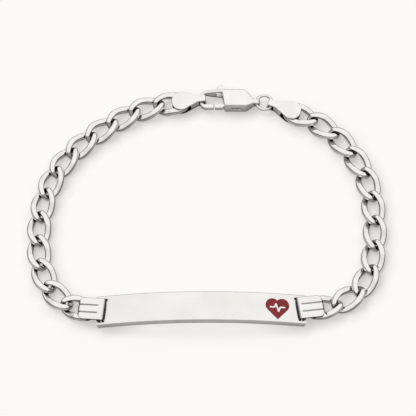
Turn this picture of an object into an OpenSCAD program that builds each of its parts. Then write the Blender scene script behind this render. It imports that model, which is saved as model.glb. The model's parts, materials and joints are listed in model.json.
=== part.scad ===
// Medical alert bracelet: an arched name plate on a curb chain that closes with a trigger clasp.
// It lies flat with its loop closed. Millimetres, +Z up, the floor at z = 0.

/* [Plate] */
// Length of the name plate between its two ends
plate_l = 41.9; // [40:0.1:45]
// Width of the name plate
plate_w = 6.3; // [6:0.1:7]
// Thickness of the name plate
plate_t = 1.6; // [1.5:0.05:1.8]
// Rise of the plate's middle above its ends
plate_rise = 2.7; // [2:0.1:3.4]
// Width of the small bevel along the plate's upper edges
plate_bevel = 0.15; // [0.1:0.01:0.3]
// Metal between the plate's end and the middle of its slot's edge
slot_inset = 0.6; // [0.5:0.05:1.2]
// Width of the slot, along the plate
slot_w = 1.4; // [1.2:0.05:1.5]
// Radius of the slot's corners
slot_r = 0.15; // [0.1:0.05:0.2]

/* [Emblem] */
// Width of the enamel heart
heart_w = 4.9; // [4:0.1:5.2]
// Depth of the enamel in the plate
heart_t = 0.3; // [0.2:0.05:0.5]
// Distance of the heart's middle from the plate's right end
heart_inset = 5.7; // [5:0.1:8]
// Width of the metal pulse line across the heart
pulse_w = 0.32; // [0.25:0.01:0.4]

/* [Straps] */
// Length of a strap from its fold to the band in the slot
strap_l = 5.5; // [5:0.1:6]
// Width of a strap
strap_w = 4.8; // [4.6:0.1:5.2]
// Thickness of the band that a strap is folded from
band_t = 0.4; // [0.35:0.01:0.45]
// Room between a strap's top and the plate's face
strap_play = 0.35; // [0.15:0.01:0.4]
// Width of the strap's underside and of its leg in the slot
under_w = 2.5; // [2.4:0.1:2.8]
// Width of the strap's tongue, where it folds inside the last link
tongue_w = 1.5; // [1.3:0.1:1.6]
// Depth of the two engraved lines on a strap
rib_depth = 0.12; // [0.08:0.01:0.18]
// Width of an engraved line
rib_w = 0.22; // [0.15:0.01:0.3]
// Slope of the straps down from the plate, in degrees
strap_tilt = 8; // [6:0.5:10]
// Turn of the left strap in its slot, in degrees
strap_turn_left = 7; // [2:0.5:8]
// Turn of the right strap in its slot, in degrees
strap_turn_right = 9; // [3:0.5:10]

/* [Chain] */
// Length of a link's opening
link_open = 5.92; // [5.88:0.01:5.94]
// Width of a link over its outside
link_w = 5; // [4.9:0.05:5.1]
// Width of a link's wire at the two ends
wire_w = 1.02; // [1:0.01:1.04]
// Width of a link's wire along the two sides
rail_w = 1.28; // [1.2:0.02:1.32]
// Height of a link's wire
wire_h = 1.16; // [1.12:0.01:1.18]
// Height of the chain between its ground flats
chain_h = 2.15; // [2.1:0.05:2.2]
// Roll of a link's ends from the flat, in degrees
link_roll = 46; // [45:1:48]
// Slack between two links of the left chain
slack_left = 0.46; // [0.44:0.01:0.48]
// Slack between two links of the right chain
slack_right = 0.34; // [0.32:0.01:0.36]
// Number of links between the clasp and the plate's left end
left_count = 13; // [12:1:13]
// Number of links between the ring and the plate's right end
right_count = 11; // [10:1:11]

/* [End caps] */
// Radius of an end cap's round end
cap_r = 2.1; // [2:0.05:2.3]
// Length of an end cap from its post to its narrow tip
cap_l = 5.3; // [4.9:0.05:5.4]
// Thickness of an end cap
cap_t = 2.3; // [2.2:0.05:2.4]
// Width of an end cap's narrow tip
cap_tip_w = 1.55; // [1.4:0.05:1.7]
// Thickness of the end cap's two plates
cap_plate = 0.34; // [0.3:0.01:0.36]
// Radius of the post that holds the first link
post_r = 0.5; // [0.4:0.02:0.54]
// Room between the jump ring and the end of the tip
ring_play = 0.1; // [0.08:0.01:0.3]
// Length of the eye through the tip
eye_l = 1.2; // [1.15:0.05:1.25]
// Rise of an end cap towards its tip, in degrees
cap_tilt = 4.5; // [3.5:0.25:5]

/* [Clasp] */
// Length of the clasp
clasp_l = 13; // [12.4:0.1:13.4]
// Width of the clasp
clasp_w = 4.2; // [4.1:0.1:4.5]
// Thickness of the clasp's body
clasp_t = 3.1; // [2.9:0.1:3.3]
// Thickness of the hook's nose, where the end cap hangs
nose_t = 1.2; // [1:0.05:1.24]
// Width of the hook's nose
nose_w = 0.85; // [0.75:0.05:0.9]
// Width of the hook's back
spine_w = 0.8; // [0.75:0.05:0.9]
// Thickness of the lever
lever_t = 1.3; // [1.1:0.05:1.4]
// Radius of the hidden pin that the lever turns on
pin_r = 0.4; // [0.35:0.01:0.45]
// Radial clearance between the pin and the lever
pin_gap = 0.05; // [0.02:0.01:0.08]
// How far the end eye lies off the body's middle
tail_off = 0.55; // [0.4:0.05:0.6]
// Outer radius of the clasp's end eye
tail_r = 0.85; // [0.8:0.05:0.95]
// Radius of the hole in the end eye
tail_hole_r = 0.5; // [0.47:0.01:0.52]
// Height of the thumb nub above the hook's back
nub_h = 1.4; // [1:0.1:1.6]

/* [Jump ring] */
// Radius of the jump ring to the middle of its wire
ring_r = 1.68; // [1.55:0.01:1.75]
// Radius of the jump ring's wire
ring_wire_r = 0.31; // [0.27:0.01:0.34]

/* [Hidden] */
// Small gap between two pieces that fit together
fit = 0.08;
// Gap between the last link and the plate's end
link_gap = 0.5;
// Middle of the clasp's nose bar, where the loop starts
clasp_at = [-1.35, 24.55];
// Turn of the left end cap, from its post towards its tip
cap_turn_left = 6;
// Turn of the right end cap, from its post towards its tip
cap_turn_right = 160;
// Turn of the line from the clasp's eye to the jump ring's middle
ring_turn = 0;
// Left end of the plate
plate_at = [-22.35, -24.15];
// Turn of the plate about its left end
plate_turn = 0.4;
// Chosen points of the chain's middle line, from each end cap to its strap
route_left = [[-10.3, 23.5], [-15.5, 21.9], [-24.8, 15.8], [-31.8, 7.8], [-34.9, -3.1], [-34.4, -14.0],
    [-32.5, -18.4], [-28.65, -22.2]];
route_right = [[22.5, 20.0], [27.0, 16.6], [33.1, 7.6], [34.9, -3.9], [33.8, -14.6], [31.5, -19.0],
    [27.2, -22.1]];

// Rows and corners of a link's mesh, and steps along a curve
link_rows = 16;
link_sides = 6;
arch_sides = 360;
curve_steps = 8;
$fn = 48;

// The plate's arch
arch_r = (pow(plate_l / 2, 2) + pow(plate_rise, 2)) / (2 * plate_rise);
arch_half = asin(plate_l / 2 / arch_r);
end_bend = arch_half - strap_tilt;
heart_x = plate_l / 2 - heart_inset;

// The strap, measured from the underside of the plate's end
band_x = -slot_inset - slot_w / 2 - band_t / 2;
fold_x = band_x + strap_l;
strap_low = -fit - band_t;
strap_high = slot_inset * sin(end_bend) + plate_t * cos(end_bend) + strap_play + band_t;
plate_lift = fold_x * sin(strap_tilt) - strap_low * cos(strap_tilt);
seat_x = link_gap + wire_w;

// The link, and the height of the joint next to a held end
link_z = chain_h / 2 + 0.01;
raised_z = link_z + 0.08;
half_l = (link_open + wire_w) / 2;
half_w = (link_w - rail_w) / 2;
roundness = 2.4;

// How far the jump ring curves back over half the width of an eye
function ring_sag(half) = ring_r - sqrt(ring_r * ring_r - half * half);

// The end cap
cap_z = cap_t / 2 * cos(cap_tilt) + cap_r * sin(cap_tilt);
eye_mid = cap_l - cap_plate - eye_l / 2;
eye_wall = 0.3;
eye_h = cap_t - 2 * eye_wall;
neck_x = cap_l - 2 * cap_plate - eye_l;
ring_hang = cap_l - cap_plate - ring_wire_r - ring_play - ring_sag(cap_tip_w / 2);

// The clasp
clasp_z = clasp_t / 2;
half_clasp = clasp_w / 2;
tail_x = clasp_l - tail_r - nose_w / 2;
tail_w = 1.1;
tail_root = tail_x - 0.6;
body_x = 4.4;
body_slant = 0.5;
full_x = 4.2;
pivot = [6.2, -0.98];
gate_w = 1;
gate_x = 2.7;
nub_x = 3.95;
nub_w = 1.4;

// Places of the caps' posts, the ring and the straps
function turned(v, a) = [v[0] * cos(a) - v[1] * sin(a), v[0] * sin(a) + v[1] * cos(a)];
cap_flat = cos(cap_tilt);
post_left = clasp_at - turned([eye_mid * cap_flat, 0], cap_turn_left);
tail_at = clasp_at + [tail_x + tail_hole_r - ring_wire_r - fit, -tail_off];
ring_at = tail_at + turned([ring_r - ring_sag(tail_w / 2), 0], ring_turn);
post_right = ring_at - turned([ring_hang * cap_flat + ring_r, 0], cap_turn_right);
plate_mid = plate_at + turned([plate_l / 2, 0], plate_turn);

// A strap's turn about its slot, and the last link's seat under it
function strap_turn(side) = side > 0 ? strap_turn_right : -strap_turn_left;
function strap_point(side, x) = let (
        slot = [-slot_inset - slot_w / 2, 0],
        flat = slot + turned([(x - slot[0]) * cos(strap_tilt), 0], strap_turn(side)))
    plate_mid + side * turned([plate_l / 2 + flat[0], flat[1]], plate_turn);
seat_z = plate_lift - link_gap * sin(strap_tilt) - fit + wire_h / 2 + fit / 2;

// The chain's curve passes through its start, the chosen points and its end. The chosen points move
// out from the middle of the loop until the curve is as long as its links.
start_left = post_left + turned([post_r + fit, 0], cap_turn_left);
start_right = post_right + turned([post_r + fit, 0], cap_turn_right);
end_left = strap_point(-1, seat_x);
end_right = strap_point(1, seat_x);
function knots(first, chosen, last, k) = concat([first], [for (p = chosen) p * k], [last]);
function smooth(p0, p1, p2, p3, t) = 0.5 * (2 * p1 + (p2 - p0) * t + (2 * p0 - 5 * p1 + 4 * p2 - p3) * t * t
    + (3 * p1 - p0 - 3 * p2 + p3) * t * t * t);
function curve(k) = let (
        last = len(k) - 1,
        ends = concat([2 * k[0] - k[1]], k, [2 * k[last] - k[last - 1]]))
    [for (i = [0:last - 1], s = [0:curve_steps - 1])
        smooth(ends[i], ends[i + 1], ends[i + 2], ends[i + 3], s / curve_steps), k[last]];
function run(c, i = 0, s = 0) = i >= len(c) - 1 ? [s] : concat([s], run(c, i + 1, s + norm(c[i + 1] - c[i])));
function total(c) = let (r = run(c)) r[len(r) - 1];
function spread(first, chosen, last, want, low = 0.9, high = 1.1, tries = 18) =
    let (mid = (low + high) / 2)
    tries == 0 ? mid
    : total(curve(knots(first, chosen, last, mid))) > want
        ? spread(first, chosen, last, want, low, mid, tries - 1)
        : spread(first, chosen, last, want, mid, high, tries - 1);
function along(c, r, s) = let (
        spans = [for (i = [0:len(c) - 2]) if (r[i] <= s + 1e-6) i],
        i = spans[len(spans) - 1],
        f = (s - r[i]) / (r[i + 1] - r[i]))
    c[i] + f * (c[i + 1] - c[i]);
function joints(first, chosen, last, count, pitch) = let (
        k = spread(first, chosen, last, count * pitch),
        c = curve(knots(first, chosen, last, k)),
        r = run(c),
        end = r[len(r) - 1])
    [for (i = [0:count]) let (p = along(c, r, end * i / count))
        [p[0], p[1], i == 0 ? cap_z : i == count ? seat_z : i == 1 || i == count - 1 ? raised_z : link_z]];
joints_left = joints(start_left, route_left, end_left, left_count, link_open - slack_left);
joints_right = joints(start_right, route_right, end_right, right_count, link_open - slack_right);

// Names of the pieces
function two_digits(i) = i < 10 ? str("0", i) : str(i);
function link_name(side, i) = str("link_", side, "_", two_digits(i));

// A rounded bar shape: a rectangle from the middle with round corners
module rounded(size, r) {
    square([size[0] - 2 * r, size[1]], center = true);
    square([size[0], size[1] - 2 * r], center = true);
    for (x = [-1, 1], y = [-1, 1])
        translate([x * (size[0] / 2 - r), y * (size[1] / 2 - r)]) circle(r = r);
}

// A line of even width with round corners through a few points
module stroke(points, w) {
    for (i = [0:len(points) - 2]) {
        step = points[i + 1] - points[i];
        translate(points[i]) rotate(atan2(step[1], step[0]))
            translate([0, -w / 2]) square([norm(step), w]);
    }
    for (p = points) translate(p) circle(d = w, $fn = 16);
}

// The heart: two round lobes on a square that stands on its corner
module heart_shape(grow = 0) {
    lobe = heart_w / (2 * (1 + sqrt(0.5)));
    translate([0, lobe * 0.35]) {
        for (x = [-1, 1]) translate([x * lobe * sqrt(0.5), lobe * sqrt(0.5) - lobe * 0.7])
            circle(r = lobe + grow);
        translate([0, -lobe * 0.7]) rotate(45)
            square(2 * (lobe + grow), center = true);
    }
}

// The pulse line, as shares of the heart's width
module pulse_shape(grow = 0) {
    beat = [[-0.3, 0.02], [-0.13, 0.02], [-0.06, 0.16], [0.04, -0.16], [0.12, 0.02], [0.3, 0.02]];
    stroke(beat * heart_w, pulse_w + 2 * grow);
}

// Puts children on the plate's arch, at a distance from its middle
module on_arch(x) {
    translate([plate_mid[0], plate_mid[1], plate_lift + plate_rise - arch_r])
        rotate(plate_turn) rotate([0, asin(x / arch_r), 0]) translate([0, 0, arch_r]) children();
}

// Puts children at the underside of a plate end, with +X leading away from the plate
module at_plate_end(side) {
    translate([plate_mid[0], plate_mid[1], plate_lift]) rotate(side > 0 ? plate_turn : plate_turn + 180)
        translate([plate_l / 2, 0, 0]) children();
}

// The arched bar without its slots and its inlay
module plate_bar() {
    low = arch_r;
    high = arch_r + plate_t;
    translate([plate_mid[0], plate_mid[1], plate_lift + plate_rise - arch_r])
        rotate(plate_turn) translate([0, plate_w / 2, 0]) rotate([90, 0, 0])
        rotate(90 - arch_half) rotate_extrude(angle = 2 * arch_half, $fn = arch_sides)
        polygon([[low, 0], [high - plate_bevel, 0], [high, plate_bevel], [high, plate_w - plate_bevel],
            [high - plate_bevel, plate_w], [low, plate_w]]);
}

// The plate, with the pulse line standing in the heart's recess. Its slots lie in line with their straps.
module id_plate() {
    slot_x = plate_l / 2 - slot_inset - slot_w / 2;
    color("gainsboro") {
        difference() {
            plate_bar();
            for (side = [-1, 1]) on_arch(side * slot_x) rotate(strap_turn(side)) translate([0, 0, -plate_t])
                linear_extrude(3 * plate_t) rounded([slot_w, strap_w + 4 * fit], slot_r);
            on_arch(heart_x) translate([0, 0, plate_t - heart_t]) linear_extrude(plate_t)
                heart_shape(fit / 4);
        }
        on_arch(heart_x) translate([0, 0, plate_t - heart_t - 0.1]) linear_extrude(heart_t + 0.1)
            pulse_shape();
    }
}

module emblem() {
    color("firebrick") on_arch(heart_x) translate([0, 0, plate_t - heart_t + 0.02])
        linear_extrude(heart_t) difference() {
            heart_shape();
            pulse_shape(fit / 4);
        }
}

// The strap's outline seen from above. Its round corners stand over the sides of the last link.
module strap_top() {
    corner = 0.5;
    translate([band_x, -strap_w / 2]) square([strap_l - corner, strap_w]);
    translate([band_x, -strap_w / 2 + corner]) square([strap_l, strap_w - 2 * corner]);
    for (y = [-1, 1]) translate([fold_x - corner, y * (strap_w / 2 - corner)]) circle(r = corner);
}

// The narrower outline of the strap below its top: the underside, and the tongue where it folds
module strap_under() {
    tongue_l = link_gap + 2 * wire_w;
    translate([band_x, -under_w / 2]) square([band_t - band_x, under_w]);
    translate([band_x, -tongue_w / 2]) square([strap_l, tongue_w]);
    polygon([[0, under_w / 2], [tongue_l / 2, tongue_w / 2], [tongue_l / 2, -tongue_w / 2],
        [0, -under_w / 2]]);
}

// The folded strap: a flat ring of band, seen from the side, narrower below its top
module strap(side) {
    tall = strap_high - strap_low;
    corner = 0.45;
    inner_r = 0.15;
    lap = 0.12;
    plain_l = 1.6;
    rib_l = strap_l - plain_l;
    rib_y = strap_w / 6;
    slot_x = -slot_inset - slot_w / 2;
    color("silver") at_plate_end(side) translate([slot_x, 0, 0]) rotate([0, 0, strap_turn(side)])
        translate([-slot_x, 0, 0]) rotate([0, strap_tilt, 0]) difference() {
            intersection() {
                translate([band_x + strap_l / 2, strap_w / 2, (strap_high + strap_low) / 2])
                    rotate([90, 0, 0]) linear_extrude(strap_w) difference() {
                        rounded([strap_l, tall], corner);
                        rounded([strap_l - 2 * band_t, tall - 2 * band_t], inner_r);
                    }
                union() {
                    translate([0, 0, strap_high - band_t - lap]) linear_extrude(1) strap_top();
                    translate([0, 0, strap_low - 1]) linear_extrude(tall + 1 - band_t) strap_under();
                }
            }
            for (y = [-1, 1]) translate([fold_x - rib_l / 2, y * rib_y, strap_high])
                cube([rib_l, rib_w, 2 * rib_depth], center = true);
        }
}

// A point of the link's middle line. Each half of its oval rolls about the chain towards its end,
// by roll_a at the near end and roll_b at the far one, and a held end stays flat.
function round_power(v) = sign(v) * pow(abs(v), 2 / roundness);
function link_line(i, roll_a, roll_b) = let (
        t = 360 * i / link_rows,
        x = half_l * round_power(cos(t)),
        w = half_w * round_power(sin(t)),
        roll = (x < 0 ? -roll_a : roll_b) * x / half_l)
    [x, w * cos(roll), w * sin(roll), roll];

// One row of corners round the wire, with the ground flats as limits on their height
function link_row(i, roll_a, roll_b) = let (
        here = link_line(i, roll_a, roll_b),
        ahead = link_line(i + 1, roll_a, roll_b),
        behind = link_line(i - 1, roll_a, roll_b),
        way = [for (j = [0:2]) ahead[j] - behind[j]],
        up = [0, -sin(here[3]), cos(here[3])],
        out = cross(way, up) / norm(cross(way, up)),
        top = cross(out, way) / norm(cross(out, way)),
        wide = wire_w + (rail_w - wire_w) * pow(sin(360 * i / link_rows), 2))
    [for (s = [0:link_sides - 1]) let (
            a = 360 * s / link_sides,
            p = [here[0], here[1], here[2]] + out * cos(a) * wide / 2 + top * sin(a) * wire_h / 2 / sin(60))
        [p[0], p[1], max(-chain_h / 2, min(chain_h / 2, p[2]))]];

// One link as a closed mesh
module link_solid(roll_a, roll_b) {
    rows = [for (i = [0:link_rows - 1]) link_row(i, roll_a, roll_b)];
    points = [for (row = rows) each row];
    function at(i, s) = (i % link_rows) * link_sides + s % link_sides;
    polyhedron(points, [for (i = [0:link_rows - 1], s = [0:link_sides - 1])
        each [[at(i, s), at(i + 1, s + 1), at(i + 1, s)], [at(i, s), at(i, s + 1), at(i + 1, s + 1)]]]);
}

// One link between two joints, lying flat at its held end and rolled at its free ends
module chain_link(joint, i, count) {
    from = joint[i - 1];
    to = joint[i];
    way = to - from;
    color("silver") translate((from + to) / 2)
        rotate([0, -asin(way[2] / norm(way)), atan2(way[1], way[0])])
        link_solid(i == 1 ? 0 : link_roll, i == count ? 0 : -link_roll);
}

// The end cap: a spade-shaped outline, a pocket with its post for the first link, and an eye in the tip
module end_cap(post, turn) {
    side_r = 0.3;
    eye_corner = 0.25;
    taper = asin((cap_r - cap_tip_w / 2) / (neck_x + side_r));
    pocket_x = post_r + wire_w + slack_left / 2 + 2 * fit;
    color("whitesmoke") translate([post[0], post[1], cap_z]) rotate([0, -cap_tilt, turn]) {
        difference() {
            intersection() {
                translate([0, 0, -cap_t / 2]) linear_extrude(cap_t) {
                    circle(r = cap_r);
                    polygon([[cap_r * sin(taper), cap_r * cos(taper)], [neck_x, cap_tip_w / 2],
                        [cap_l, cap_tip_w / 2], [cap_l, -cap_tip_w / 2], [neck_x, -cap_tip_w / 2],
                        [cap_r * sin(taper), -cap_r * cos(taper)]]);
                }
                translate([0, cap_r, 0]) rotate([90, 0, 0]) linear_extrude(2 * cap_r)
                    translate([(cap_l - cap_r) / 2, 0]) rounded([cap_l + cap_r, cap_t], side_r);
            }
            translate([-2 * cap_r + pocket_x, -2 * cap_r, -cap_t / 2 + cap_plate])
                cube([2 * cap_r, 4 * cap_r, cap_t - 2 * cap_plate]);
            translate([eye_mid, cap_r, 0]) rotate([90, 0, 0]) linear_extrude(2 * cap_r)
                rounded([eye_l, eye_h], eye_corner);
        }
        translate([0, 0, -cap_t / 2 + cap_plate / 2]) cylinder(r = post_r, h = cap_t - cap_plate);
    }
}

// The clasp's outline seen from above. x is measured from the middle of the nose bar.
module clasp_outline() {
    nose = -nose_w / 2;
    turn_r = 1.5;
    corner = 0.25;
    window_h = clasp_w - spine_w - gate_w;
    window_top = half_clasp - spine_w;
    high_x = tail_x - 3.45;
    high_r = 2;
    high_lean = 45;
    low_x = tail_x - 2.6;
    low_r = 1;
    low_lean = 30;
    function slant(y) = body_x + body_slant * (window_top - y) / (window_top + half_clasp);
    difference() {
        union() {
            for (y = [-1, 1]) translate([nose + turn_r, y * (half_clasp - turn_r)]) circle(r = turn_r);
            translate([nose, -half_clasp + turn_r]) square([turn_r, clasp_w - 2 * turn_r]);
            translate([nose + turn_r, -half_clasp]) square([body_x - turn_r, clasp_w]);
            translate([high_x, half_clasp - high_r]) circle(r = high_r);
            translate([low_x, low_r - half_clasp]) circle(r = low_r);
            polygon([[body_x - 1, half_clasp], [high_x, half_clasp],
                [high_x + high_r * sin(high_lean), half_clasp - high_r * (1 - cos(high_lean))],
                [tail_root, tail_w / 2 - tail_off], [tail_x + tail_r, tail_w / 2 - tail_off],
                [tail_x + tail_r, -tail_w / 2 - tail_off], [tail_root, -tail_w / 2 - tail_off],
                [low_x + low_r * sin(low_lean), -half_clasp + low_r * (1 - cos(low_lean))],
                [low_x, -half_clasp], [body_x - 1, -half_clasp]]);
        }
        translate([nose_w / 2 + corner, window_top - corner]) circle(r = corner);
        translate([nose_w / 2 + corner, window_top - window_h + corner]) circle(r = corner);
        translate([nose_w / 2, window_top - window_h + corner]) square([1, window_h - 2 * corner]);
        polygon([[nose_w / 2 + corner, window_top], [slant(window_top), window_top],
            [slant(-half_clasp - 1), -half_clasp - 1], [gate_x - fit, -half_clasp - 1],
            [gate_x - fit, window_top - window_h], [nose_w / 2 + corner, window_top - window_h]]);
    }
}

// The clasp seen from the side: thin at the nose, full over the body, low again at the end eye
module clasp_side() {
    half_nose = nose_t / 2;
    fall_x = tail_x - 2.3;
    eye_x = tail_x - 0.2;
    polygon([[-nose_w, -half_nose], [nose_w / 2, -half_nose], [full_x, -clasp_z], [fall_x, -clasp_z],
        [eye_x, -tail_r], [eye_x, tail_r], [fall_x, clasp_z], [full_x, clasp_z],
        [nose_w / 2, half_nose], [-nose_w, half_nose]]);
    translate([tail_x, 0]) circle(r = tail_r);
}

// The clasp seen from its end, with rounded edges
module clasp_end() {
    edge_r = 0.5;
    rounded([clasp_t, clasp_w], edge_r);
}

module at_clasp() {
    translate([clasp_at[0], clasp_at[1], clasp_z]) children();
}

// The body: the lever's slot runs through its back, and a short slit in its front shows the lever's seat
module clasp_body() {
    slot_h = lever_t + 2 * fit;
    slot_x = nub_x - 0.9;
    slot_l = 4.3;
    front_wall = 0.3;
    slit_x = pivot[0] + 0.1;
    slit_l = 2.1;
    slit_h = 0.5;
    pin_end = 0.2;
    color("whitesmoke") at_clasp() {
        difference() {
            intersection() {
                translate([0, 0, -clasp_z]) linear_extrude(clasp_t) clasp_outline();
                translate([0, clasp_w, 0]) rotate([90, 0, 0]) linear_extrude(2 * clasp_w) clasp_side();
                translate([-clasp_l, 0, 0]) rotate([0, 90, 0]) linear_extrude(3 * clasp_l) clasp_end();
            }
            for (z = [nose_t / 2, -nose_t / 2 - clasp_t])
                translate([0, -clasp_w, z]) cube([gate_x, clasp_w, clasp_t]);
            translate([slot_x, -half_clasp + front_wall, -slot_h / 2]) cube([slot_l, clasp_w, slot_h]);
            translate([slit_x, -clasp_w, -slit_h / 2]) cube([slit_l, clasp_w - half_clasp + 1, slit_h]);
            translate([tail_x, clasp_w, 0]) rotate([90, 0, 0]) cylinder(r = tail_hole_r, h = 2 * clasp_w);
        }
        translate([pivot[0], pivot[1], -clasp_z + pin_end]) cylinder(r = pin_r, h = clasp_t - 2 * pin_end);
    }
}

// The lever: the gate in front, a round boss on the pin, and the nub behind
module clasp_lever() {
    front = -half_clasp + 0.05;
    rest_x = body_x + body_slant - 0.3;
    step = 0.35;
    slope = 0.1;
    arm_w = 1.7;
    boss_r = gate_w - 0.3;
    nub_y = half_clasp + nub_h - nub_w / 2;
    color("gainsboro") at_clasp() translate([0, 0, -lever_t / 2]) linear_extrude(lever_t) difference() {
        union() {
            translate(pivot) circle(r = boss_r);
            polygon([[gate_x + fit, front], [rest_x, front], [rest_x + slope, front + step],
                [pivot[0], front + step], [pivot[0], front + gate_w + slope],
                [gate_x + fit, front + gate_w - 1.5 * slope]]);
            polygon([[pivot[0] - arm_w / 2, pivot[1]], [pivot[0] + arm_w / 2, pivot[1] + 3 * slope],
                [nub_x + nub_w / 2 + slope, nub_y], [nub_x - nub_w / 2 + slope, nub_y]]);
            translate([nub_x + slope, nub_y]) circle(d = nub_w);
        }
        translate(pivot) circle(r = pin_r + pin_gap);
    }
}

module jump_ring() {
    color("silver") translate([ring_at[0], ring_at[1], clasp_z])
        rotate_extrude() translate([ring_r, 0]) circle(r = ring_wire_r, $fn = 24);
}

id_plate();
emblem();
strap(-1);  // strap_left
strap(1);  // strap_right
end_cap(post_left, cap_turn_left);  // end_cap_left
end_cap(post_right, cap_turn_right);  // end_cap_right
clasp_body();
clasp_lever();
jump_ring();
for (i = [1:left_count])
    chain_link(joints_left, i, left_count);
for (i = [1:right_count])
    chain_link(joints_right, i, right_count);
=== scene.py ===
"""The looks of a silver medical alert bracelet, lying closed on a pale surface. Metres, +Z up."""
import json
import math
import bmesh
import bpy
import numpy as np
from mathutils import Matrix, Vector


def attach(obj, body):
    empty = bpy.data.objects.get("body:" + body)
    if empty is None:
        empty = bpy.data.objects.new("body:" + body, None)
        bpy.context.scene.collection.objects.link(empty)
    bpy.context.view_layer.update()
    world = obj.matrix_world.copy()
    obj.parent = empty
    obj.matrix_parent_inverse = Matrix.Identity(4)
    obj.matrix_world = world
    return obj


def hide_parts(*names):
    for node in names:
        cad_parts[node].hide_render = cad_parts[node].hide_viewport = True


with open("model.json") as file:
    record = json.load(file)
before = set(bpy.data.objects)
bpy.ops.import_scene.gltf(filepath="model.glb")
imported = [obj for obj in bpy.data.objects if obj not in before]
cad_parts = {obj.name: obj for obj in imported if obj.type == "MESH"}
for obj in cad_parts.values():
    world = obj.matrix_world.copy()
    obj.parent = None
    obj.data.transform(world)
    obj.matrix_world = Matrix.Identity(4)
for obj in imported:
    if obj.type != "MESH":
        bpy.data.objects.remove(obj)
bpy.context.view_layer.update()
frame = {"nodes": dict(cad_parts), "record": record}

MM = 0.001

# The chain, in millimetres, as the part's source has it
link_open = 5.92
link_w = 5.0
wire_w = 1.02
rail_w = 1.28
wire_h = 1.16
chain_h = 2.15
link_roll = 46.0
slack_left = 0.46
slack_right = 0.34
left_count = 13
right_count = 11
roundness = 2.4
curve_steps = 8
link_z = chain_h / 2 + 0.01
raised_z = link_z + 0.08
half_l = (link_open + wire_w) / 2
half_w = (link_w - rail_w) / 2
route_left = [(-10.3, 23.5), (-15.5, 21.9), (-24.8, 15.8), (-31.8, 7.8), (-34.9, -3.1), (-34.4, -14.0),
              (-32.5, -18.4), (-28.65, -22.2)]
route_right = [(22.5, 20.0), (27.0, 16.6), (33.1, 7.6), (34.9, -3.9), (33.8, -14.6), (31.5, -19.0),
               (27.2, -22.1)]

# The plate, its straps, the end caps and the clasp, in millimetres and degrees, as the part's source has
# them. The values of the two sides stand under -1 for the left and 1 for the right.
fit = 0.08
plate_l = 41.9
plate_t = 1.6
plate_rise = 2.7
plate_at = np.array([-22.35, -24.15])
plate_turn = 0.4
slot_inset = 0.6
slot_w = 1.4
strap_l = 5.5
strap_w = 4.8
under_w = 2.5
strap_play = 0.35
band_t = 0.4
strap_tilt = 8.0
strap_turns = {-1: -7.0, 1: 9.0}
slot_x = -slot_inset - slot_w / 2
band_x = slot_x - band_t / 2
fold_x = band_x + strap_l
plate_lift = (fold_x * math.sin(math.radians(strap_tilt))
              + (fit + band_t) * math.cos(math.radians(strap_tilt)))
link_gap = 0.5
cap_r = 2.1
cap_l = 5.3
cap_t = 2.3
cap_tip_w = 1.55
cap_plate = 0.34
post_r = 0.5
ring_play = 0.1
eye_l = 1.2
cap_tilt = 4.5
cap_turns = {-1: 6.0, 1: 160.0}
clasp_at = np.array([-1.35, 24.55])
clasp_l = 13.0
nose_w = 0.85
tail_off = 0.55
tail_r = 0.85
tail_hole_r = 0.5
tail_w = 1.1
ring_r = 1.68
ring_wire_r = 0.31

# The fine forms that only this script gives to the links and the straps, in millimetres
face_roll = 0.35
end_square = 3.2
rail_square = 4.6
ground_soft = 0.22
fold_corner = 1.2
bend_r = 0.4
narrow_h = 0.6
slot_band_h = 1.4
slot_band_x = 1.2
groove_depth = 0.16
groove_w = 0.085
groove_end = 0.12
dip_depth = 0.05
dip_w = 2.4 * groove_w
lip_depth = 0.05
lip_w = 0.07
plain_l = {-1: 1.35, 1: 0.75}

# Painted shade: the silver's colour is darkened towards near-black where shade falls, in the crevices between
# links, under the strap, at the undersides of cast pieces, in the plate's slots and in the strap's grooves,
# rims, fold and slot, and a thin painted dark reflection runs along each edge of the wire: how far in
# millimetres, and how dark from 0 to 1
crevice_reach = 1.06
crevice_soft = 0.12
under_strap = 2.3
under_edge = 0.6
under_soft = 0.2
slice_w = 0.25
wire_line = 0.9
wire_line_at = 0.8
wire_line_w = 0.11
groove_shade = 0.85
groove_shade_w = 0.8 * groove_w
rim_shade = 0.9
rim_at = 0.93
rim_soft = 0.04
fold_shade = 0.85
fold_depth = 0.2
# The near-black colour that the painted shade mixes into the silver
painted_shade_color = (0.035, 0.034, 0.032, 1)

# Copies of the CAD nodes: doubles are merged within this distance, and cast parts are remeshed in small cubes
merge_gap = 0.002
cast_grain = 0.05


def turned(length, degrees):
    """A step of that length, turned from +X by an angle."""
    a = math.radians(degrees)
    return length * np.array([math.cos(a), math.sin(a)])


def turn_matrix(degrees):
    """The matrix that turns row vectors on the floor plan by an angle."""
    c, s = turned(1, degrees)
    return np.array([[c, s], [-s, c]])


def ring_sag(half):
    """How far the jump ring curves back over half the width of an eye."""
    return ring_r - math.sqrt(ring_r ** 2 - half ** 2)


def cap_posts():
    """The posts of the end caps, one on the clasp's nose bar and one on the jump ring."""
    flat = math.cos(math.radians(cap_tilt))
    left = clasp_at - turned((cap_l - cap_plate - eye_l / 2) * flat, cap_turns[-1])
    tail_x = clasp_l - tail_r - nose_w / 2
    ring = clasp_at + [tail_x + tail_hole_r - ring_wire_r - fit + ring_r - ring_sag(tail_w / 2), -tail_off]
    hang = cap_l - cap_plate - ring_wire_r - ring_play - ring_sag(cap_tip_w / 2)
    return {-1: left, 1: ring - turned(hang * flat + ring_r, cap_turns[1])}


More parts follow.
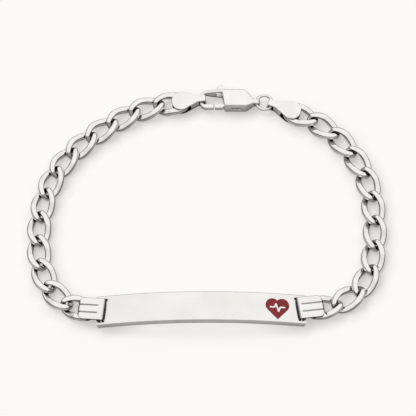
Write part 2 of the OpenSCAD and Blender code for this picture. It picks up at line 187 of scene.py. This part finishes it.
def strap_seats():
    """Where the last link of each side sits under its strap: two points on the floor plan and a height."""
    tilt = math.radians(strap_tilt)
    height = plate_lift - link_gap * math.sin(tilt) - fit + wire_h / 2 + fit / 2
    middle = plate_at + turned(plate_l / 2, plate_turn)
    seats = {}
    for side, turn in strap_turns.items():
        flat = np.array([slot_x, 0]) + turned((link_gap + wire_w - slot_x) * math.cos(tilt), turn)
        along = turned(plate_l / 2 + flat[0], plate_turn)
        across = turned(flat[1], plate_turn + 90)
        seats[side] = middle + side * (along + across)
    return seats, height


def smooth_curve(knots):
    """A Catmull-Rom curve through the knots, as points on the floor plan."""
    k = np.vstack([2 * knots[0] - knots[1], knots, 2 * knots[-1] - knots[-2]])
    t = (np.arange(curve_steps) / curve_steps)[None, :, None]
    p0, p1, p2, p3 = (k[i:len(k) - 3 + i][:, None, :] for i in range(4))
    c = 0.5 * (2 * p1 + (p2 - p0) * t + (2 * p0 - 5 * p1 + 4 * p2 - p3) * t ** 2
               + (3 * p1 - p0 - 3 * p2 + p3) * t ** 3)
    return np.vstack([c.reshape(-1, 2), knots[-1]])


def stretched_route(first, chosen, last, k):
    """The side's curve with its chosen points moved out by a factor, and the length run at each point."""
    curve = smooth_curve(np.vstack([first, np.array(chosen) * k, last]))
    return curve, np.concatenate([[0], np.cumsum(np.linalg.norm(np.diff(curve, axis=0), axis=1))])


def chain_joints(first, chosen, last, count, pitch, ends_z):
    """The places where the links cross. The chosen points move out until the curve is as long as its links,
    found by halving the range of the factor again and again."""
    low, high = 0.9, 1.1
    for step in range(18):
        k = (low + high) / 2
        curve, run = stretched_route(first, chosen, last, k)
        low, high = (low, k) if run[-1] > count * pitch else (k, high)
    curve, run = stretched_route(first, chosen, last, (low + high) / 2)
    s = np.linspace(0, run[-1], count + 1)
    z = np.full(count + 1, link_z)
    z[[1, -2]] = raised_z
    z[[0, -1]] = ends_z
    return np.stack([np.interp(s, run, curve[:, 0]), np.interp(s, run, curve[:, 1]), z], 1)


def show(name, mesh, material, cad_node, body="bracelet"):
    """Puts a mesh into the scene as a piece that stands for a CAD node."""
    mesh.materials.clear()
    mesh.materials.append(material)
    piece = bpy.data.objects.new(name, mesh)
    bpy.context.scene.collection.objects.link(piece)
    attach(piece, body)
    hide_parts(cad_node)
    return piece


def mark_painted_shade(mesh, domain, values):
    """Stores how strongly each point or face is darkened by painted shade."""
    painted_shade = mesh.attributes.new("painted_shade", "FLOAT", domain)
    painted_shade.data.foreach_set("value", values.astype(np.float32).ravel())


def grid_mesh(name, rows, painted_shade, material, slot, cad_node):
    """Makes a piece from points in millimetres on a grid that closes both ways round, and stores the painted
    shade given for each point.
    """
    n, m = rows.shape[:2]
    i, j = np.meshgrid(np.arange(n), np.arange(m), indexing="ij")
    ahead, beside = (i + 1) % n, (j + 1) % m
    faces = np.stack([i * m + j, i * m + beside, ahead * m + beside, ahead * m + j], -1).reshape(-1, 4)
    mesh = bpy.data.meshes.new(name)
    mesh.from_pydata((rows.reshape(-1, 3) * MM).tolist(), [], faces.tolist())
    mesh.polygons.foreach_set("use_smooth", np.ones(len(faces), bool))
    mark_painted_shade(mesh, "POINT", painted_shade)
    show(name, mesh, material, cad_node)


def signed_power(value, power):
    """A power of the size of a value, with the value's own sign."""
    return np.sign(value) * np.abs(value) ** power


def link_path(t, roll_a, roll_b):
    """A link's middle line: a squarish oval that rolls about the chain towards its ends. It gives the points
    and the roll at each of them."""
    x = half_l * signed_power(np.cos(t), 2 / roundness)
    w = half_w * signed_power(np.sin(t), 2 / roundness)
    roll = np.radians(np.where(x < 0, -roll_a, roll_b) * x / half_l)
    return np.stack([x, w * np.cos(roll), w * np.sin(roll)], 1), roll


def ground_flat(z):
    """Stops a height softly at the chain's two ground flats."""
    stop = chain_h / 2 - ground_soft
    over = np.abs(z) - stop
    return np.where(over > 0, np.sign(z) * (stop + ground_soft * np.tanh(over / ground_soft)), z)


def link_rows(roll_a, roll_b, rows=112, sides=28):
    """A link's surface: round its middle line runs a wire with a broad flat top and bottom, which leans with
    the roll and is ground flat above and below. Beside the points it gives how dark the thin painted line is
    that runs along each edge of the wire, a painted dark reflection of its rounded shoulders."""
    t = np.linspace(0, 2 * np.pi, rows, endpoint=False)
    step = 0.06
    here, roll = link_path(t, roll_a, roll_b)
    way = link_path(t + step, roll_a, roll_b)[0] - link_path(t - step, roll_a, roll_b)[0]
    face = roll * face_roll
    up = np.stack([0 * roll, -np.sin(face), np.cos(face)], 1)
    out = np.cross(way, up)
    out /= np.linalg.norm(out, axis=1)[:, None]
    top = np.cross(out, way)
    top /= np.linalg.norm(top, axis=1)[:, None]
    at_rail = np.sin(t) ** 2
    wide = wire_w + (rail_w - wire_w) * at_rail
    square = 2 / (end_square + (rail_square - end_square) * at_rail)[:, None]
    a = np.linspace(0, 2 * np.pi, sides, endpoint=False)
    across = signed_power(np.cos(a), square)
    height = signed_power(np.sin(a), square)
    p = (here[:, None] + out[:, None] * (across * wide[:, None] / 2)[..., None]
         + top[:, None] * (height * wire_h / 2)[..., None])
    p[..., 2] = ground_flat(p[..., 2])
    # Painted dark reflection: a thin dark line near each edge of the wire's section
    line = wire_line * np.exp(-((np.abs(height) - wire_line_at) / wire_line_w) ** 2)
    return p[:, ::-1], line[:, ::-1]


def place_link(rows, a, b):
    """Moves a link's surface to lie between two joints."""
    way = b - a
    length = np.linalg.norm(way)
    x = way / length
    y = np.array([-x[1], x[0], 0]) / math.hypot(x[0], x[1])
    z = np.cross(x, y)
    return rows @ np.stack([x, y, z]) + (a + b) / 2


def crevice_shade(link, others):
    """How strongly each point of a link is darkened by painted shade in the crevice between its wire and the
    wires of the next links.
    """
    deep = np.zeros(link.shape[:2])
    for other in others:
        away = np.linalg.norm(link[:, :, None] - other.mean(1), axis=-1).min(-1)
        deep = np.maximum(deep, np.clip((crevice_reach - away) / crevice_soft, 0, 1))
    return deep


def build_chain(side, name, count, slack, route, material):
    """One side of the chain, from its end cap to its strap. The first and last links lie flat where they are
    held."""
    seats, seat_z = strap_seats()
    tilt = math.radians(cap_tilt)
    cap_z = cap_t / 2 * math.cos(tilt) + cap_r * math.sin(tilt)
    first = cap_posts()[side] + turned(post_r + fit, cap_turns[side])
    joints = chain_joints(first, route, seats[side], count, link_open - slack, (cap_z, seat_z))
    links = []
    lines = []
    for i in range(count):
        rows, line = link_rows(0 if i == 0 else link_roll, 0 if i == count - 1 else -link_roll)
        links.append(place_link(rows, joints[i], joints[i + 1]))
        lines.append(line)
    for i, (link, line) in enumerate(zip(links, lines)):
        # Painted shade in the crevices, together with the painted dark edge line of the wire
        painted_shade = np.maximum(line, crevice_shade(link, links[max(i - 1, 0):i] + links[i + 1:i + 2]))
        # Painted shade on the last link where the strap lies over it
        if i == count - 1:
            reach = np.linalg.norm((link - joints[-1])[..., :2], axis=-1)
            painted_shade = np.maximum(painted_shade, np.clip((under_strap - reach) / crevice_soft, 0, 1))
        number = f"{name}_{i + 1:02d}"
        grid_mesh(f"chain_{number}", link, painted_shade, material, "chain_silver", f"link_{number}")


def silver_wear():
    """A shader group for worn polished silver. A slow noise makes soft smudges in the polish, and a fast
    noise stretched along X makes fine hair scratches. It puts out a colour, a roughness and a height."""
    g = bpy.data.node_groups.new("silver_wear", "ShaderNodeTree")
    sockets = (("Clean", "NodeSocketColor", "INPUT"), ("Dull", "NodeSocketColor", "INPUT"),
               ("Polish", "NodeSocketFloat", "INPUT"), ("Smudge", "NodeSocketFloat", "INPUT"),
               ("Size", "NodeSocketFloat", "INPUT"), ("Color", "NodeSocketColor", "OUTPUT"),
               ("Roughness", "NodeSocketFloat", "OUTPUT"), ("Height", "NodeSocketFloat", "OUTPUT"))
    for name, kind, way in sockets:
        g.interface.new_socket(name, in_out=way, socket_type=kind)
    node = g.nodes.new
    link = g.links.new
    given = node("NodeGroupInput")
    put = node("NodeGroupOutput")
    place = node("ShaderNodeTexCoord")
    slow = node("ShaderNodeTexNoise")
    slow.inputs["Detail"].default_value = 4
    stretch = node("ShaderNodeMapping")
    stretch.inputs["Scale"].default_value = (0.25, 3.0, 1.5)
    fast = node("ShaderNodeTexNoise")
    fast.inputs["Detail"].default_value = 3
    finer = node("ShaderNodeMath")
    finer.operation = "MULTIPLY"
    finer.inputs[1].default_value = 6.0
    blotch = node("ShaderNodeMapRange")
    blotch.inputs["From Min"].default_value = 0.35
    blotch.inputs["From Max"].default_value = 0.75
    tint = node("ShaderNodeMix")
    tint.data_type = "RGBA"
    rough = node("ShaderNodeMath")
    rough.operation = "MULTIPLY_ADD"
    link(place.outputs["Object"], slow.inputs["Vector"])
    link(place.outputs["Object"], stretch.inputs["Vector"])
    link(stretch.outputs["Vector"], fast.inputs["Vector"])
    link(given.outputs["Size"], slow.inputs["Scale"])
    link(given.outputs["Size"], finer.inputs[0])
    link(finer.outputs[0], fast.inputs["Scale"])
    link(slow.outputs["Fac"], blotch.inputs["Value"])
    link(blotch.outputs["Result"], tint.inputs["Factor"])
    link(given.outputs["Clean"], tint.inputs["A"])
    link(given.outputs["Dull"], tint.inputs["B"])
    link(blotch.outputs["Result"], rough.inputs[0])
    link(given.outputs["Smudge"], rough.inputs[1])
    link(given.outputs["Polish"], rough.inputs[2])
    link(tint.outputs["Result"], put.inputs["Color"])
    link(rough.outputs[0], put.inputs["Roughness"])
    link(fast.outputs["Fac"], put.inputs["Height"])


def silver(name, clean, dull, polish, smudge, size, scratch):
    """A polished silver material: the wear group feeds colour, roughness and a faint scratch bump, and the
    colour is darkened towards near-black by the painted shade stored on the points and faces."""
    m = bpy.data.materials.new(name)
    m.use_nodes = True
    node = m.node_tree.nodes.new
    link = m.node_tree.links.new
    metal = m.node_tree.nodes["Principled BSDF"]
    metal.inputs["Metallic"].default_value = 1.0
    wear = node("ShaderNodeGroup")
    wear.node_tree = bpy.data.node_groups["silver_wear"]
    wear.inputs["Clean"].default_value = (*clean, 1)
    wear.inputs["Dull"].default_value = (*dull, 1)
    wear.inputs["Polish"].default_value = polish
    wear.inputs["Smudge"].default_value = smudge
    wear.inputs["Size"].default_value = size
    bump = node("ShaderNodeBump")
    bump.inputs["Strength"].default_value = scratch
    bump.inputs["Distance"].default_value = 0.02 * MM
    # Painted shade: the stored amount mixes the colour towards near-black
    depth = node("ShaderNodeAttribute")
    depth.attribute_name = "painted_shade"
    dark = node("ShaderNodeMix")
    dark.data_type = "RGBA"
    dark.inputs["B"].default_value = painted_shade_color
    link(depth.outputs["Fac"], dark.inputs["Factor"])
    link(wear.outputs["Color"], dark.inputs["A"])
    link(dark.outputs["Result"], metal.inputs["Base Color"])
    link(wear.outputs["Roughness"], metal.inputs["Roughness"])
    link(wear.outputs["Height"], bump.inputs["Height"])
    link(bump.outputs["Normal"], metal.inputs["Normal"])
    return m


def enamel():
    """Deep red hot enamel: a slow noise varies the red, under a clear glossy coat."""
    m = bpy.data.materials.new("red_enamel")
    m.use_nodes = True
    node = m.node_tree.nodes.new
    link = m.node_tree.links.new
    glaze = m.node_tree.nodes["Principled BSDF"]
    glaze.inputs["Roughness"].default_value = 0.3
    glaze.inputs["Specular IOR Level"].default_value = 0.3
    glaze.inputs["Coat Weight"].default_value = 0.05
    glaze.inputs["Coat Roughness"].default_value = 0.08
    place = node("ShaderNodeTexCoord")
    cloud = node("ShaderNodeTexNoise")
    cloud.inputs["Scale"].default_value = 1500
    cloud.inputs["Detail"].default_value = 4
    ramp = node("ShaderNodeValToRGB")
    ramp.color_ramp.elements[0].position = 0.3
    ramp.color_ramp.elements[0].color = (0.13, 0.010, 0.011, 1)
    ramp.color_ramp.elements[1].position = 0.7
    ramp.color_ramp.elements[1].color = (0.29, 0.020, 0.021, 1)
    link(place.outputs["Object"], cloud.inputs["Vector"])
    link(cloud.outputs["Fac"], ramp.inputs["Fac"])
    link(ramp.outputs["Color"], glaze.inputs["Base Color"])
    return m


def floor_material():
    """A pale floor that glows evenly besides taking the light. Its glow is darkened by a painted soft shadow
    where a piece stands close between it and the light, and the metal sees it dimmer than the camera does,
    a painted dim reflection."""
    lit = (0.796, 0.788, 0.759, 1)
    light_side = (-0.5, 0.45, 0.74)
    m = bpy.data.materials.new("pale_floor")
    m.use_nodes = True
    tree = m.node_tree
    tree.nodes.clear()
    node = tree.nodes.new
    link = tree.links.new
    paper = node("ShaderNodeBsdfDiffuse")
    paper.inputs["Color"].default_value = (0.16, 0.159, 0.155, 1)
    toward = node("ShaderNodeCombineXYZ")
    for axis, part in zip("XYZ", light_side):
        toward.inputs[axis].default_value = part
    # Painted shadow: occlusion leaned towards the light darkens the glow where a piece stands between the
    # floor and the light
    near = node("ShaderNodeAmbientOcclusion")
    near.samples = 12
    near.inputs["Distance"].default_value = 3.0 * MM
    near.inputs["Color"].default_value = lit
    painted_shadow = node("ShaderNodeMix")
    painted_shadow.data_type = "RGBA"
    painted_shadow.inputs["Factor"].default_value = 0.55
    painted_shadow.inputs["A"].default_value = lit
    glow = node("ShaderNodeEmission")
    path = node("ShaderNodeLightPath")
    # Painted reflection: rays from the metal see the floor's glow dimmer
    level = node("ShaderNodeMapRange")
    level.inputs["To Min"].default_value = 1.0
    level.inputs["To Max"].default_value = 0.32
    both = node("ShaderNodeAddShader")
    put = node("ShaderNodeOutputMaterial")
    link(toward.outputs[0], near.inputs["Normal"])
    link(near.outputs["Color"], painted_shadow.inputs["B"])
    link(painted_shadow.outputs["Result"], glow.inputs["Color"])
    link(path.outputs["Is Glossy Ray"], level.inputs["Value"])
    link(level.outputs["Result"], glow.inputs["Strength"])
    link(paper.outputs[0], both.inputs[0])
    link(glow.outputs[0], both.inputs[1])
    link(both.outputs[0], put.inputs["Surface"])
    return m


def lay_floor():
    """A wide flat floor."""
    half = 3.0
    corners = [(-half, -half, 0), (half, -half, 0), (half, half, 0), (-half, half, 0)]
    mesh = bpy.data.meshes.new("floor")
    mesh.from_pydata(corners, [], [(0, 1, 2, 3)])
    mesh.materials.append(floor_material())
    floor = bpy.data.objects.new("floor", mesh)
    bpy.context.scene.collection.objects.link(floor)


def hang_soft_box():
    """A large soft light from the back left. The metal doesn't mirror it."""
    soft = bpy.data.lights.new("soft_box", "AREA")
    soft.size = 0.9
    soft.energy = 29
    box = bpy.data.objects.new("soft_box", soft)
    box.location = (-0.8, 0.65, 1.7)
    box.rotation_euler = Vector(box.location).to_track_quat("Z", "Y").to_euler()
    box.visible_glossy = False
    bpy.context.scene.collection.objects.link(box)


def room():
    """The pale room: white overhead and a little behind, greyer low down. The tones go by how far a direction
    leans from the room's brightest one, from 0 for away from it to 1 for straight at it."""
    brightest = (0.08, 0.42, 0.90)
    tones = ((0.29, 0.5), (0.42, 0.42), (0.52, 0.36), (0.62, 0.3), (0.72, 0.34), (0.78, 0.6), (0.82, 0.84),
             (0.86, 0.94), (0.95, 1.0))
    blue_share = 0.99
    world = bpy.data.worlds.new("room")
    world.use_nodes = True
    node = world.node_tree.nodes.new
    link = world.node_tree.links.new
    place = node("ShaderNodeTexCoord")
    lean = node("ShaderNodeVectorMath")
    lean.operation = "DOT_PRODUCT"
    lean.inputs[1].default_value = brightest
    spread = node("ShaderNodeMath")
    spread.operation = "MULTIPLY_ADD"
    spread.inputs[1].default_value = 0.5
    spread.inputs[2].default_value = 0.5
    ramp = node("ShaderNodeValToRGB")
    stops = ramp.color_ramp.elements
    while len(stops) < len(tones):
        stops.new(0.5)
    for stop, (height, tone) in zip(stops, tones):
        stop.position = height
        stop.color = (tone, tone, tone * blue_share, 1)
    back = world.node_tree.nodes["Background"]
    path = node("ShaderNodeLightPath")
    level = node("ShaderNodeMapRange")
    level.inputs["To Min"].default_value = 1.0
    level.inputs["To Max"].default_value = 0.62
    link(place.outputs["Generated"], lean.inputs[0])
    link(lean.outputs["Value"], spread.inputs[0])
    link(spread.outputs[0], ramp.inputs["Fac"])
    link(ramp.outputs["Color"], back.inputs["Color"])
    link(path.outputs["Is Diffuse Ray"], level.inputs["Value"])
    link(level.outputs["Result"], back.inputs["Strength"])
    bpy.context.scene.world = world


def camera():
    """The photograph's view: from the front, high above the floor, aimed at the bracelet's middle. A pixel of
    the photograph shows 0.21 mm there."""
    elevation = math.radians(66)
    distance = 0.42
    pixel = 0.21 * MM
    photo_w = 416
    film_w = 36
    data = bpy.data.cameras.new("photo_view")
    data.sensor_width = film_w
    data.lens = film_w * distance / (pixel * photo_w)
    data.clip_start = 0.01
    view = bpy.data.objects.new("photo_view", data)
    view.location = (0, -distance * math.cos(elevation), distance * math.sin(elevation))
    view.rotation_euler = (math.pi / 2 - elevation, 0, 0)
    bpy.context.scene.collection.objects.link(view)
    bpy.context.scene.camera = view


def merged_copy(node):
    """A copy of a CAD node's mesh, opened for work, with its doubles merged."""
    mesh = frame["nodes"][node].data.copy()
    work = bmesh.new()
    work.from_mesh(mesh)
    bmesh.ops.remove_doubles(work, verts=work.verts, dist=merge_gap * MM)
    return mesh, work


def softened(node, name, material, width):
    """A copy of a CAD node whose sharp edges are rounded a little, as polished sheet is."""
    nearly_flat = math.radians(0.4)
    sharp = math.radians(25)
    mesh, work = merged_copy(node)
    bmesh.ops.dissolve_limit(work, angle_limit=nearly_flat, verts=work.verts, edges=work.edges)
    work.to_mesh(mesh)
    work.free()
    mesh.name = name
    mesh.shade_smooth()
    piece = show(name, mesh, material, node)
    edge = piece.modifiers.new("edge", "BEVEL")
    edge.width = width * MM
    edge.segments = 3
    edge.limit_method = "ANGLE"
    edge.angle_limit = sharp
    edge.harden_normals = True
    return piece


def cast_copy(node, name, material, rounds, body="bracelet"):
    """A copy of a CAD node with the soft edges and filled corners of cast metal. It is remeshed in small
    cubes and relaxed, at a thousand times its size, because the remesher has a smallest cube."""
    mesh, work = merged_copy(node)
    work.to_mesh(mesh)
    work.free()
    mesh.transform(Matrix.Scale(1 / MM, 4))
    form = bpy.data.objects.new(name + "_form", mesh)
    bpy.context.scene.collection.objects.link(form)
    cubes = form.modifiers.new("cubes", "REMESH")
    cubes.mode = "VOXEL"
    cubes.voxel_size = cast_grain
    relax = form.modifiers.new("relax", "SMOOTH")
    relax.factor = 0.5
    relax.iterations = rounds
    made = bpy.data.meshes.new_from_object(form.evaluated_get(bpy.context.evaluated_depsgraph_get()))
    bpy.data.objects.remove(form)
    made.name = name
    made.transform(Matrix.Scale(MM, 4))
    made.shade_smooth()
    return show(name, made, material, node, body)


def undersides(piece):
    """Paints shade on the lowest band of a cast piece, where it turns under towards the floor. The bottom is
    found slice by slice along X."""
    mesh = piece.data
    co = np.empty(len(mesh.vertices) * 3)
    mesh.vertices.foreach_get("co", co)
    x, y, z = co.reshape(-1, 3).T / MM
    slices = ((x - x.min()) / slice_w).astype(int)
    bottom = np.full(slices.max() + 1, z.max())
    np.minimum.at(bottom, slices, z)
    mark_painted_shade(mesh, "POINT", np.clip((bottom[slices] + under_edge - z) / under_soft, 0, 1))


def slot_walls(piece):
    """Paints shade on the walls of the plate's slots: the faces about a slot that don't look up."""
    mesh = piece.data
    count = len(mesh.polygons)
    middle, normal = np.empty(count * 3), np.empty(count * 3)
    mesh.polygons.foreach_get("center", middle)
    mesh.polygons.foreach_get("normal", normal)
    flat = middle.reshape(-1, 3)[:, :2] / MM - plate_at - turned(plate_l / 2, plate_turn)
    along, across = np.abs(flat @ turn_matrix(-plate_turn)).T
    reach_x, reach_y = 0.9 * slot_w, strap_w / 2 + 4 * fit
    about_slot = (np.abs(along - plate_l / 2 - slot_x) < reach_x) & (across < reach_y)
    looks_up = normal.reshape(-1, 3)[:, 2] >= 0.5
    mark_painted_shade(mesh, "FACE", about_slot & ~looks_up)


def strap_loop(low, high):
    """A band's middle line, seen from the side: a long loop that runs down the fold, back below, up through
    the slot and forward along the top, with four round corners. It gives places and directions that face
    out."""
    inset = band_t / 2 + bend_r
    back, ahead = band_x + inset, fold_x - inset
    under, over = low + inset, high - inset
    arc_steps, straight_steps = 8, 24
    turns = np.linspace(0, np.pi / 2, arc_steps + 1)
    share = np.linspace(0, 1, straight_steps + 2)[1:-1, None]
    corners = ((ahead, over, np.pi / 2), (ahead, under, 0), (back, under, -np.pi / 2), (back, over, np.pi))
    arcs = []
    for cx, cz, start in corners:
        a = start - turns
        arcs.append(np.stack([cx + bend_r * np.cos(a), cz + bend_r * np.sin(a), np.cos(a), np.sin(a)], 1))
    loop = []
    for arc, following in zip(arcs, arcs[1:] + arcs[:1]):
        loop += [arc, arc[-1] * (1 - share) + following[0] * share]
    return np.vstack(loop).T


def on_plate(p, side):
    """Tilts a strap from its own place, turns it in its slot and moves it to its end of the plate."""
    tilt = math.radians(strap_tilt)
    x, y, z = np.moveaxis(p, -1, 0)
    along = x * math.cos(tilt) + z * math.sin(tilt)
    height = z * math.cos(tilt) - x * math.sin(tilt) + plate_lift
    flat = (np.stack([along, y], -1) - [slot_x, 0]) @ turn_matrix(strap_turns[side])
    flat += [slot_x + plate_l / 2, 0]
    flat = side * flat @ turn_matrix(plate_turn) + plate_at + turned(plate_l / 2, plate_turn)
    return np.dstack([flat, height])


def strap_rows(side):
    """A folded strap's surface: a flat band carried round its loop. Two grooves sink into its outer face, and
    the band narrows at its fold and below its top, but not inside the slot. Beside the points it gives how
    much painted shade each of them carries: in the grooves, along the rims, in the fold, in the slot and all
    over the inner face."""
    bend = 2 * math.atan(2 * plate_rise / plate_l) - math.radians(strap_tilt)
    low = -fit - band_t
    high = slot_inset * math.sin(bend) + plate_t * math.cos(bend) + strap_play + band_t
    half_t = band_t / 2
    columns, side_square = 97, 24
    x, z, out_x, out_z = strap_loop(low, high)
    full_until = slot_band_h * np.clip((band_x + slot_band_x - x) / narrow_h, 0, 1)
    narrowed = np.clip((high - half_t - full_until - z) / narrow_h, 0, 1)
    half = strap_w / 2 + (under_w - strap_w) / 2 * narrowed ** 2 * (3 - 2 * narrowed)
    half -= fold_corner * np.clip((x - fold_x + fold_corner) / fold_corner, 0, 1) ** 2
    across = np.linspace(-1, 1, columns)
    rounded = np.sqrt(1 - np.abs(across) ** side_square)
    y = half[:, None] * across
    near = np.abs(np.abs(y) - strap_w / 6)
    past = x - band_x - plain_l[side]
    ribbed = np.clip(past / groove_end, 0, 1)[:, None]
    dip = dip_depth * np.exp(-(near / dip_w) ** 2)
    groove = (groove_depth * np.exp(-(near / groove_w) ** 2) + dip) * ribbed
    lip = lip_depth * np.exp(-(past / lip_w) ** 2)[:, None] * (z > high - band_t)[:, None]
    outer = half_t * rounded - groove - lip
    inner = -half_t * rounded[::-1][1:-1] * np.ones((len(x), 1))
    offset = np.hstack([outer, inner])
    # Painted shade in the slot, along the rims, in the fold and in the grooves; the inner face is painted
    # dark all over
    in_slot = ((x < band_x + bend_r) & (z < high - bend_r))[:, None]
    rim = rim_shade * np.clip((np.abs(across) - rim_at) / rim_soft, 0, 1)
    folded = fold_shade * ((x > fold_x - bend_r) & (z < high - fold_depth))[:, None]
    grooved = groove_shade * np.exp(-(near / groove_shade_w) ** 2) * ribbed
    outer_dark = np.maximum(np.maximum(grooved, in_slot), np.maximum(rim, folded))
    painted_shade = np.hstack([outer_dark, np.ones_like(inner)])
    y = np.hstack([y, y[:, ::-1][:, 1:-1]])
    p = np.stack([x[:, None] + offset * out_x[:, None], y, z[:, None] + offset * out_z[:, None]], -1)
    return on_plate(p, side), painted_shade


def dress():
    """Gives every shown CAD node its material, and lays the fine pieces over the plain ones."""
    silver_wear()
    plate = silver("plate_silver", clean=(0.90, 0.89, 0.87), dull=(0.84, 0.83, 0.80), polish=0.24,
                   smudge=0.08, size=160, scratch=0.25)
    cast = silver("cast_silver", clean=(0.92, 0.915, 0.90), dull=(0.85, 0.84, 0.82), polish=0.16,
                  smudge=0.10, size=240, scratch=0.2)
    wire = silver("wire_silver", clean=(0.93, 0.925, 0.91), dull=(0.88, 0.87, 0.85), polish=0.05,
                  smudge=0.05, size=240, scratch=0.2)
    finishes = {"plate_silver": plate, "clasp_silver": cast, "chain_silver": wire, "enamel": enamel()}
    slots = {part["node"]: part["material_slot"] for part in frame["record"]["subparts"]}
    for name, piece in frame["nodes"].items():
        piece.data.materials.clear()
        piece.data.materials.append(finishes[slots[name]])
    slot_walls(softened("id_plate", "name_plate", plate, width=0.1))
    for side, word in ((-1, "left"), (1, "right")):
        grid_mesh(f"folded_strap_{word}", *strap_rows(side), plate, "plate_silver", f"strap_{word}")
    for word in ("left", "right"):
        undersides(cast_copy(f"end_cap_{word}", f"spade_cap_{word}", cast, rounds=30))
    undersides(cast_copy("clasp_body", "trigger_clasp", cast, rounds=100))
    cast_copy("clasp_lever", "clasp_gate", cast, rounds=16, body="lever")
    build_chain(-1, "left", left_count, slack_left, route_left, wire)
    build_chain(1, "right", right_count, slack_right, route_right, wire)


bpy.context.scene.view_settings.view_transform = "Standard"
camera()
lay_floor()
hang_soft_box()
room()
dress()
